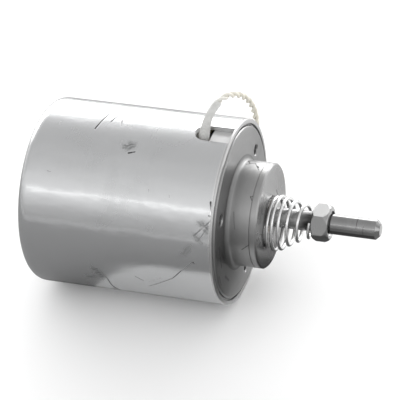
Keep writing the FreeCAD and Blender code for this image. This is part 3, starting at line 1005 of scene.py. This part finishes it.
def merged_copy(node, name, finish, body):
    """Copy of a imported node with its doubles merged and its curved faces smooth."""
    mesh = nodes[node].data.copy()
    mesh.name = name
    shape = bmesh.new()
    shape.from_mesh(mesh)
    bmesh.ops.remove_doubles(shape, verts=shape.verts, dist=doubles_reach)
    shape.to_mesh(mesh)
    shape.free()
    return dress(link_piece(name, mesh), finish, body, node)


def rounded_profile(corners, arc_steps, row_step):
    """Points of a profile with its corners rounded and its long runs divided."""
    points = []
    for i, corner in enumerate(corners):
        here = Vector(corner[:2])
        if len(corner) == 2:
            points.append(here)
            continue
        back = (Vector(corners[i - 1][:2]) - here).normalized()
        ahead = (Vector(corners[i + 1][:2]) - here).normalized()
        half = back.angle(ahead) / 2
        centre = here + (back + ahead).normalized() * (corner[2] / math.sin(half))
        start = here + back * (corner[2] / math.tan(half)) - centre
        end = here + ahead * (corner[2] / math.tan(half)) - centre
        sweep = start.angle(end)
        for k in range(arc_steps + 1):
            first = math.sin(sweep * (1 - k / arc_steps)) / math.sin(sweep)
            second = math.sin(sweep * k / arc_steps) / math.sin(sweep)
            points.append(centre + start * first + end * second)
    divided = [points[0]]
    for before, after in zip(points, points[1:]):
        parts = max(1, int((after - before).length / row_step))
        divided += [before.lerp(after, k / parts) for k in range(1, parts + 1)]
    return divided


def turned_piece(name, profile, segments, shaped=None, closed=False):
    """Piece that a profile of (x, radius) points sweeps about the X axis."""
    shape = bmesh.new()
    rings = []
    for point in profile:
        ring = []
        for k in range(segments if point.y > axis_reach else 1):
            angle = 2 * math.pi * k / segments
            x, radius = shaped(point.x, point.y, angle) if shaped else (point.x, point.y)
            ring.append(shape.verts.new((x, -radius * math.sin(angle), radius * math.cos(angle))))
        rings.append(ring)
    following_rings = rings[1:] + rings[:1] if closed else rings[1:]
    for first, second in zip(rings, following_rings):
        for k in range(segments):
            corners = [first[k % len(first)], first[(k + 1) % len(first)]]
            corners += [second[(k + 1) % len(second)], second[k % len(second)]]
            shape.faces.new(list(dict.fromkeys(corners)))
    return link_piece(name, new_mesh(name, shape))


# Dents in the can's wall: centre, half length and half width in mm, depth in mm
CAN_DENTS = [
    ((-37.5, 114.0), 6.0, 7.0, 0.06),
    ((-3.2, 63.0), 3.0, 2.4, 0.12),
    ((-20.0, 106.0), 6.0, 5.0, 0.05),
    ((-48.0, 30.0), 9.0, 8.0, 0.05),
]


def dented(x, radius, angle):
    """Radius of the can's outer wall with its dents."""
    degrees = math.degrees(angle)
    degrees = degrees - 360 if degrees > 180 else degrees
    if radius > can_r - can_wall / 2:
        for (centre_x, centre_angle), half_length, half_width, depth in CAN_DENTS:
            along = (x / MM - centre_x) / half_length
            across = math.radians(degrees - centre_angle) * can_r / MM / half_width
            distance = math.hypot(along, across)
            if distance < 1:
                radius -= depth * MM * (1 - distance**2) ** 2
    return x, radius


def cut_away(piece, cutter):
    """Take the volume of a tool away from a piece."""
    tool = link_piece("cutting_tool", new_mesh("cutting_tool", cutter))
    cut = piece.modifiers.new("cut", "BOOLEAN")
    cut.object = tool
    cut.solver = "EXACT"
    piece.data = finished_mesh(piece)
    piece.modifiers.clear()
    bpy.data.objects.remove(tool)


def make_can(finish):
    """Drawn can with its rounded rear edge, lead slot and dents."""
    inner_r = can_r - can_wall
    floor_x = can_rear_x + can_wall
    corners = [
        (can_rear_x, 0),
        (can_rear_x, can_r, can_corner_r),
        (can_mouth_x, can_r, hair_edge),
        (can_mouth_x, inner_r),
        (floor_x, inner_r, can_corner_r - can_wall),
        (floor_x, 0),
    ]
    profile = rounded_profile(corners, arc_steps=10, row_step=can_row_step)
    piece = turned_piece("can_shell", profile, can_segments, dented)
    slot_r = slot_width / 2
    centre_x = can_mouth_x - slot_length + slot_r
    outline = [(centre_x + slot_length, slot_r), (centre_x, slot_r)]
    for k in range(1, slot_arc_steps):
        turn = math.pi * (0.5 + k / slot_arc_steps)
        outline.append((centre_x + slot_r * math.cos(turn), slot_r * math.sin(turn)))
    outline += [(centre_x, -slot_r), (centre_x + slot_length, -slot_r)]
    cutter = bmesh.new()
    low = [cutter.verts.new((x, y, inner_r - slot_cut_depth)) for x, y in outline]
    high = [cutter.verts.new((x, y, can_r + MM)) for x, y in outline]
    cutter.faces.new(low)
    cutter.faces.new(high)
    join_rings(cutter, low, high)
    cut_away(piece, cutter)
    dress(piece, finish, "housing", "housing_can")


def make_flange(finish):
    """Flange with its lip, face groove, boss and three tapped holes."""
    bore_r = guide_r + seam_gap
    groove_r = flange_r - groove_width
    seam_x = can_mouth_x + hair_edge
    corners = [
        (flange_back_x, bore_r),
        (flange_back_x, flange_r),
        (seam_x, flange_r),
        (seam_x, can_r, hair_edge),
        (lip_front_x, can_r, lip_round),
        (lip_front_x, flange_r, groove_width / 4),
        (lip_front_x - groove_depth, flange_r),
        (lip_front_x - groove_depth, groove_r),
        (face_x, groove_r, face_edge_round),
        (face_x, boss_r, boss_root_r),
        (boss_front_x, boss_r, seam_edge),
        (boss_front_x, bore_r),
    ]
    profile = rounded_profile(corners, arc_steps=8, row_step=turned_row_step)
    piece = turned_piece("flange_boss", profile, flange_segments, closed=True)
    cutter = bmesh.new()
    drill = (
        (flange_back_x - MM, screw_hole_r),
        (face_x - screw_sink, screw_hole_r),
        (face_x + MM, screw_hole_r + screw_sink + MM),
    )
    for angle in screw_angles:
        turn = math.radians(angle)
        centre = Vector((0, -screw_circle_r * math.sin(turn), screw_circle_r * math.cos(turn)))
        rings = []
        for x, radius in drill:
            ways = [2 * math.pi * k / screw_facets for k in range(screw_facets)]
            offsets = [Vector((x, radius * math.cos(way), radius * math.sin(way))) for way in ways]
            rings.append([cutter.verts.new(centre + offset) for offset in offsets])
        cutter.faces.new(rings[0])
        cutter.faces.new(rings[-1])
        for first, second in zip(rings, rings[1:]):
            join_rings(cutter, first, second)
    cut_away(piece, cutter)
    dress(piece, finish, "housing", "front_flange", angle=24.0)


def make_nose(finish):
    """Nose cap with its chamfered edge."""
    seam_x = boss_front_x + seam_gap
    corners = [
        (nose_seat_x, nose_bore_r),
        (nose_seat_x, guide_r),
        (seam_x, guide_r),
        (seam_x, boss_r, seam_edge),
        (nose_x - nose_chamfer, boss_r, nose_edge),
        (nose_x, boss_r - nose_chamfer, nose_edge),
        (nose_x, nose_bore_r),
    ]
    profile = rounded_profile(corners, arc_steps=4, row_step=turned_row_step)
    piece = turned_piece("nose_ring", profile, nose_segments, closed=True)
    dress(piece, finish, "housing", "nose_cap", angle=24.0)


def hex_outline(x, radius, angle):
    """Radius of the hex collar: flats cut by the round ends."""
    if radius > hex_flats_from_r:
        sector = math.pi / 3
        off_flat = (angle - hex_turn) % sector - sector / 2
        radius = min(radius, hex_flat_r / math.cos(off_flat))
    return x, radius


def make_tip(finish):
    """Hex collar with rounded ends, and the pin in front of it."""
    corners = [
        (hex_back_x + stud_reach, 0),
        (hex_back_x + stud_reach, stud_r),
        (hex_back_x, stud_r),
        (hex_back_x, hex_flat_r - hex_back_inset),
        (hex_back_x + hex_back_chamfer, hex_corner_r, hex_back_round),
        (hex_front_x - hex_front_chamfer, hex_corner_r, hex_shoulder_round),
        (hex_front_x, hex_flat_r - hex_front_inset, hex_front_round),
        (hex_front_x, recess_r, recess_edge),
        (hex_front_x - recess_depth, recess_r),
        (hex_front_x - recess_depth, rod_r),
        (tip_end_x - tip_chamfer, rod_r, tip_edge),
        (tip_end_x, rod_r - tip_chamfer, tip_edge),
        (tip_end_x, 0),
    ]
    profile = rounded_profile(corners, arc_steps=5, row_step=tip_row_step)
    piece = turned_piece("hex_tip", profile, tip_segments, hex_outline)
    dress(piece, finish, "plunger", "rod_tip", angle=17.0)


def spring_tree():
    """Conical wire spring about X: close turns at its seat, opening and narrowing ones, low on the rod."""
    tree, n, source = geometry_tree(
        "conical spring",
        {
            "Wire Diameter": spring_wire_d,
            "Big Diameter": spring_big_d,
            "Small Diameter": spring_small_d,
            "Turns": 5.15,
            "Full Turns": 1.7,
            "Space": spring_space,
            "Seat X": nose_x,
            "Seat Gap": seam_gap,
            "Closing": 0.5,
            "Droop": 2.9 * MM,
            "Last Droop": 0.3 * MM,
            "Lean": 0.3 * MM,
            "Start Angle": math.radians(110.0),
            "Steps": 40,
            "Facets": 16,
        },
    )
    total = source["Turns"] * source["Steps"]
    line = n.first("GeometryNodeMeshLine", {"Count": total + 1.0})
    share = n.first("GeometryNodeInputIndex") / total
    turn = share * source["Turns"]
    wire_r = source["Wire Diameter"] * 0.5
    inset = wire_r + source["Seat Gap"]
    length = source["Space"] - inset * 2.0
    eased = share - (share - share * share) * source["Closing"]
    big_r = source["Big Diameter"] * 0.5 - wire_r
    small_r = source["Small Diameter"] * 0.5 - wire_r
    narrowing = n.held((turn - source["Full Turns"]) / (source["Turns"] - source["Full Turns"]))
    radius = big_r + (small_r - big_r) * narrowing
    angle = source["Start Angle"] - turn * (2 * math.pi)
    droop = source["Droop"] + (source["Last Droop"] - source["Droop"]) * share
    swell = n.math("POWER", n.math("SINE", share * math.pi), 2.0)
    lean = source["Lean"] * swell * n.math("COSINE", angle)
    x = source["Seat X"] + inset + length * eased - lean
    y = radius * n.math("SINE", angle) * -1.0
    z = radius * n.math("COSINE", angle) - droop
    placed = n.first("GeometryNodeSetPosition", {"Geometry": line, "Position": n.combine(x, y, z)})
    wire = n.first("GeometryNodeMeshToCurve", {"Mesh": placed})
    end_tree(n, round_skin(n, wire, wire_r, source["Facets"]), source["Finish"])
    return tree


def carrier_object():
    """Empty mesh that a tree fills."""
    return link_piece("carrier", bpy.data.meshes.new("carrier"))


def make_spring(finish):
    """Return spring between the nose and the hex tip."""
    spring = made_by_tree(carrier_object(), spring_tree(), "spring_wire", finish)
    dress(spring, finish, "housing", "return_spring", angle=50.0)
    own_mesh(spring)


def thread_tree():
    """Screw thread ridges inside the tapped holes of the flange."""
    tree, n, source = geometry_tree(
        "tapped threads",
        {
            "Hole Radius": screw_hole_r,
            "Pitch": thread_pitch,
            "Ridge": thread_ridge,
            "Depth": thread_depth,
            "Start X": thread_start_x,
            "Circle Radius": screw_circle_r,
            "Hole Count": len(screw_angles),
            "First Angle": math.radians(screw_angles[0]),
        },
    )
    turns = source["Depth"] / source["Pitch"]
    helix = {"Resolution": 28, "Rotations": turns, "Height": source["Depth"]}
    radii = {"Start Radius": source["Hole Radius"], "End Radius": source["Hole Radius"]}
    spiral = n.first("GeometryNodeCurveSpiral", {**helix, **radii})
    ridge = n.first("GeometryNodeCurvePrimitiveCircle", {"Resolution": 4, "Radius": source["Ridge"]})
    skin = n.first("GeometryNodeCurveToMesh", {"Curve": spiral, "Profile Curve": ridge})
    laid = n.first("GeometryNodeTransform", {"Geometry": skin, "Rotation": (0.0, math.pi / 2, 0.0)})
    holes = n.first("GeometryNodeMeshLine", {"Count": source["Hole Count"]})
    step = 2 * math.pi / source["Hole Count"]
    angle = source["First Angle"] + n.first("GeometryNodeInputIndex") * step
    y = source["Circle Radius"] * n.math("SINE", angle) * -1.0
    z = source["Circle Radius"] * n.math("COSINE", angle)
    place = n.combine(source["Start X"], y, z)
    placed = n.first("GeometryNodeSetPosition", {"Geometry": holes, "Position": place})
    dots = n.first("GeometryNodeMeshToPoints", {"Mesh": placed})
    copies = n.first("GeometryNodeInstanceOnPoints", {"Points": dots, "Instance": laid})
    end_tree(n, copies, source["Finish"])
    return tree


def make_threads(finish):
    """Threads of the three tapped holes."""
    threads = made_by_tree(carrier_object(), thread_tree(), "screw_threads", finish)
    dress(threads, finish, "housing", None, angle=40.0)


def tube_along(name, path, radii, facets, wall):
    """Open-ended hose with a wall, along points, with a radius at each point."""
    shape = bmesh.new()
    side = Vector((0, 1, 0))
    outer, inner = [], []
    for k, place in enumerate(path):
        ahead = (path[min(k + 1, len(path) - 1)] - path[max(k - 1, 0)]).normalized()
        side = (side - ahead * side.dot(ahead)).normalized()
        other = ahead.cross(side)
        angles = [2 * math.pi * j / facets for j in range(facets)]
        ways = [side * math.cos(angle) + other * math.sin(angle) for angle in angles]
        for rings, radius in ((outer, radii[k]), (inner, radii[k] - wall)):
            rings.append([shape.verts.new(place + way * radius) for way in ways])
    loops = outer + inner[::-1]
    for first, second in zip(loops, loops[1:] + loops[:1]):
        join_rings(shape, first, second)
    return link_piece(name, new_mesh(name, shape))


def make_sleeve(path, finish):
    """Sleeve on the leads, flared where it comes out of the can."""
    kept, radii, gone = [], [], 0.0
    for before, place in zip(path[:1] + path, path):
        gone += (place - before).length
        if gone > sleeve_reach:
            break
        flare = max(0.0, 1 - gone / sleeve_flare_length)
        kept.append(place)
        radii.append(sleeve_r + (sleeve_flare_r - sleeve_r) * flare)
    piece = tube_along("sleeve_skin", kept, radii, sleeve_facets, sleeve_wall)
    return dress(piece, finish, "housing", "lead_sleeve", angle=60.0)


# Stage: the floor, and tones of the room by the angle from overhead towards the camera side
floor_half = 4.0
floor_gap = 0.02 * MM
floor_tone = 0.96
floor_fleck_tone = floor_tone * 0.97
floor_roughness = 0.9
floor_fleck_share = 0.1
room_strength = 1.5
ROOM_TONES = [
    (-180, 0.75),
    (-90, 1.3),
    (-62, 1.5),
    (-46, 1.05),
    (-30, 0.84),
    (-10, 0.84),
    (12, 0.94),
    (50, 1.24),
    (62, 1.2),
    (78, 0.78),
    (96, 0.45),
    (125, 0.42),
]
# Grey cards on the floor in front, under the nose and behind, for the reflections alone, where they are
# painted shade in what the metal reflects: outline, tone, rise
FRONT_CARD = [
    (-0.5, -0.6),
    (0.5, -0.6),
    (0.5, 0.022),
    (0.006, 0.022),
    (0.004, -0.052),
    (-0.034, -0.052),
    (-0.046, -0.01),
    (-0.064, 0.01),
    (-0.064, 0.5),
    (-0.5, 0.5),
]
NOSE_CARD = [(0.005, -0.03), (0.05, -0.03), (0.05, 0.019), (0.005, 0.012)]
BACK_CARD = [(-0.2, 0.045), (0.03, 0.045), (0.03, 0.15), (-0.2, 0.15)]
CARDS = [
    ("front_card", FRONT_CARD, 0.36, 0.1 * MM),
    ("nose_card", NOSE_CARD, 0.12, 0.2 * MM),
    ("back_card", BACK_CARD, 0.6, 0.2 * MM),
]
# Lamps: name, angle from overhead towards the camera side, lean along X, distance, width, depth, level
LAMPS = [
    ("back_lamp", -79.0, -0.3, 1.1, 2.2, 0.86, 3.9),
    ("streak_lamp", 55.5, -0.3, 1.2, 1.0, 0.04, 2.4),
    ("side_lamp", 50.0, 3.6, 1.2, 0.3, 1.1, 0.9),
]


def flat_sheet(name, outline, z):
    """Level sheet with a material of its own, and that material's nodes and shader inputs."""
    shape = bmesh.new()
    shape.faces.new([shape.verts.new((x, y, z)) for x, y in outline])
    sheet = link_piece(name, new_mesh(name, shape, outward=False))
    material = bpy.data.materials.new(name)
    material.use_nodes = True
    sheet.data.materials.append(material)
    return sheet, Nodes(material.node_tree), material.node_tree.nodes["Principled BSDF"].inputs


def make_floor():
    """Pale paper floor."""
    low, high = -floor_half, floor_half
    outline = [(low, low), (high, low), (high, high), (low, high)]
    floor, n, paper = flat_sheet("floor", outline, cad_low.z - floor_gap)
    fibre = n.first("ShaderNodeTexNoise", {"Scale": 60.0, "Detail": 3.0})
    n.give(paper["Base Color"], n.blend(fibre * floor_fleck_share, grey(floor_tone), grey(floor_fleck_tone)))
    paper["Roughness"].default_value = floor_roughness
    paper["Specular IOR Level"].default_value = 0.0


def make_room():
    """Tones round about, which change about the rod's axis."""
    world = bpy.data.worlds.new("studio")
    world.use_nodes = True
    bpy.context.scene.world = world
    n = Nodes(world.node_tree)
    x, y, z = n.split(n.named("ShaderNodeTexCoord")["Generated"])
    angle = n.math("ARCTAN2", y * -1.0, z)
    ramp = n.put("ShaderNodeValToRGB", {0: angle / (2 * math.pi) + 0.5})
    ramp.color_ramp.interpolation = "EASE"
    stops = ramp.color_ramp.elements
    while len(stops) < len(ROOM_TONES):
        stops.new(0.5)
    for stop, (degrees, tone) in zip(stops, ROOM_TONES):
        stop.position = degrees / 360 + 0.5
        stop.color = grey(tone / room_strength)
    background = world.node_tree.nodes["Background"].inputs
    n.give(background["Color"], Value(n, ramp.outputs[0]))
    background["Strength"].default_value = room_strength


def make_cards():
    """Grey cards that only reflections show, as painted shade in what the metal reflects."""
    for name, outline, tone, rise in CARDS:
        card, _, felt = flat_sheet(name, outline, cad_low.z + rise)
        felt["Base Color"].default_value = grey(tone)
        felt["Roughness"].default_value = 1.0
        for ray in ("camera", "diffuse", "shadow", "transmission"):
            setattr(card, "visible_" + ray, False)


def make_lamps():
    """Soft lamps that face the origin."""
    for name, angle, lean, distance, width, depth, level in LAMPS:
        turn = math.radians(angle)
        way = Vector((lean, -math.sin(turn), math.cos(turn))).normalized()
        data = bpy.data.lights.new(name, "AREA")
        data.shape = "RECTANGLE"
        data.size, data.size_y = width, depth
        data.energy = level * math.pi * width * depth
        lamp = link_piece(name, data)
        across = (Vector((1, 0, 0)) - way * way.x).normalized()
        facing = Matrix((across, way.cross(across), way)).transposed().to_4x4()
        lamp.matrix_world = Matrix.Translation(way * distance) @ facing
        lamp.visible_camera = False


make_camera()
lead_line = smooth_curve("lead_line", lead_route_points())
lead_path = followed_points(lead_line)
leads = made_by_tree(lead_line, twisted_strands_tree(), "leads_twisted")
for polygon in leads.data.polygons:
    polygon.use_smooth = True
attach(leads, "housing")
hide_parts("leads_run", "leads_coil", "leads_tail")
bpy.context.scene.view_settings.view_transform = "Standard"
make_floor()
make_room()
make_cards()
make_lamps()
finishes = make_finishes(make_effects())
make_can(finishes["plated_can"])
make_flange(finishes["flange_steel"])
make_nose(finishes["nose_steel"])
merged_copy("nose_bush", "bush_ring", finishes["bronze"], "housing")
merged_copy("plunger_rod", "rod_shaft", finishes["rod_steel"], "plunger")
make_tip(finishes["tip_steel"])
make_threads(finishes["turned_steel"])
make_spring(finishes["spring_steel"])
sleeve = make_sleeve(lead_path, finishes["sleeving"])
leads.data.materials.clear()
leads.data.materials.append(finishes["lead_insulation"])
for node in nodes.values():
    for held in node.material_slots:
        known = finishes.get(held.material.name.split(".")[0]) if held.material else None
        if known:
            held.material = known
